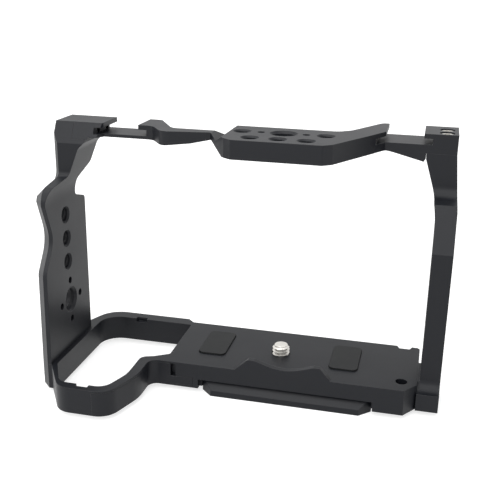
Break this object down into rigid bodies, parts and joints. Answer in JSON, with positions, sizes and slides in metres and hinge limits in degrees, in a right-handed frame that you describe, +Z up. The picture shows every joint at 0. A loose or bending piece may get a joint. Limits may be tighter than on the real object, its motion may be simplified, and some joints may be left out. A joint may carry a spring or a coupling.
{
  "type": "camera cage",
  "caption": "Metal frame that closes round a camera, with a grip ring, a camera screw, a dovetail rail, cold shoes and threaded holes.",
  "frame": {"origin": "where the camera screw's axis meets the base's top face", "axes": "+X to the cage's right as seen from the lens side of the picture, +Y away from the viewer, +Z up"},
  "size_m": [0.1408, 0.0683, 0.0953],
  "materials": {
    "anodised_black": "satin anodised",
    "rubber": "matte",
    "bright_steel": "satin",
    "dark_steel": "black oxide"
  },
  "bodies": {
    "cage": {"base_plate": "anodised_black", "grip_band": "anodised_black", "side_plate": "anodised_black", "top_plate": "anodised_black", "side_post": "anodised_black", "pad_left": "rubber", "pad_right": "rubber", "screw_retaining_ring": "dark_steel", "post_top_screw_front": "bright_steel", "post_top_screw_rear": "bright_steel", "post_foot_screw_front": "dark_steel", "post_foot_screw_rear": "dark_steel", "corner_screw_front": "bright_steel", "corner_screw_rear": "bright_steel", "wall_screw_front": "dark_steel", "wall_screw_rear": "dark_steel", "band_screw_upper": "dark_steel", "band_screw_lower": "dark_steel"},
    "screw_washer": {"screw_washer": "bright_steel"},
    "camera_screw": {"camera_screw": "bright_steel"}
  },
  "joints": [
    {"name": "screw_float", "type": "slide", "parent": "cage", "child": "screw_washer", "axis": [0, 0, 1], "range_m": [0, 0.0015]},
    {"name": "screw_turn", "type": "hinge", "parent": "screw_washer", "child": "camera_screw", "pos_m": [0, 0, 0], "axis": [0, 0, 1], "continuous": true}
  ]
}
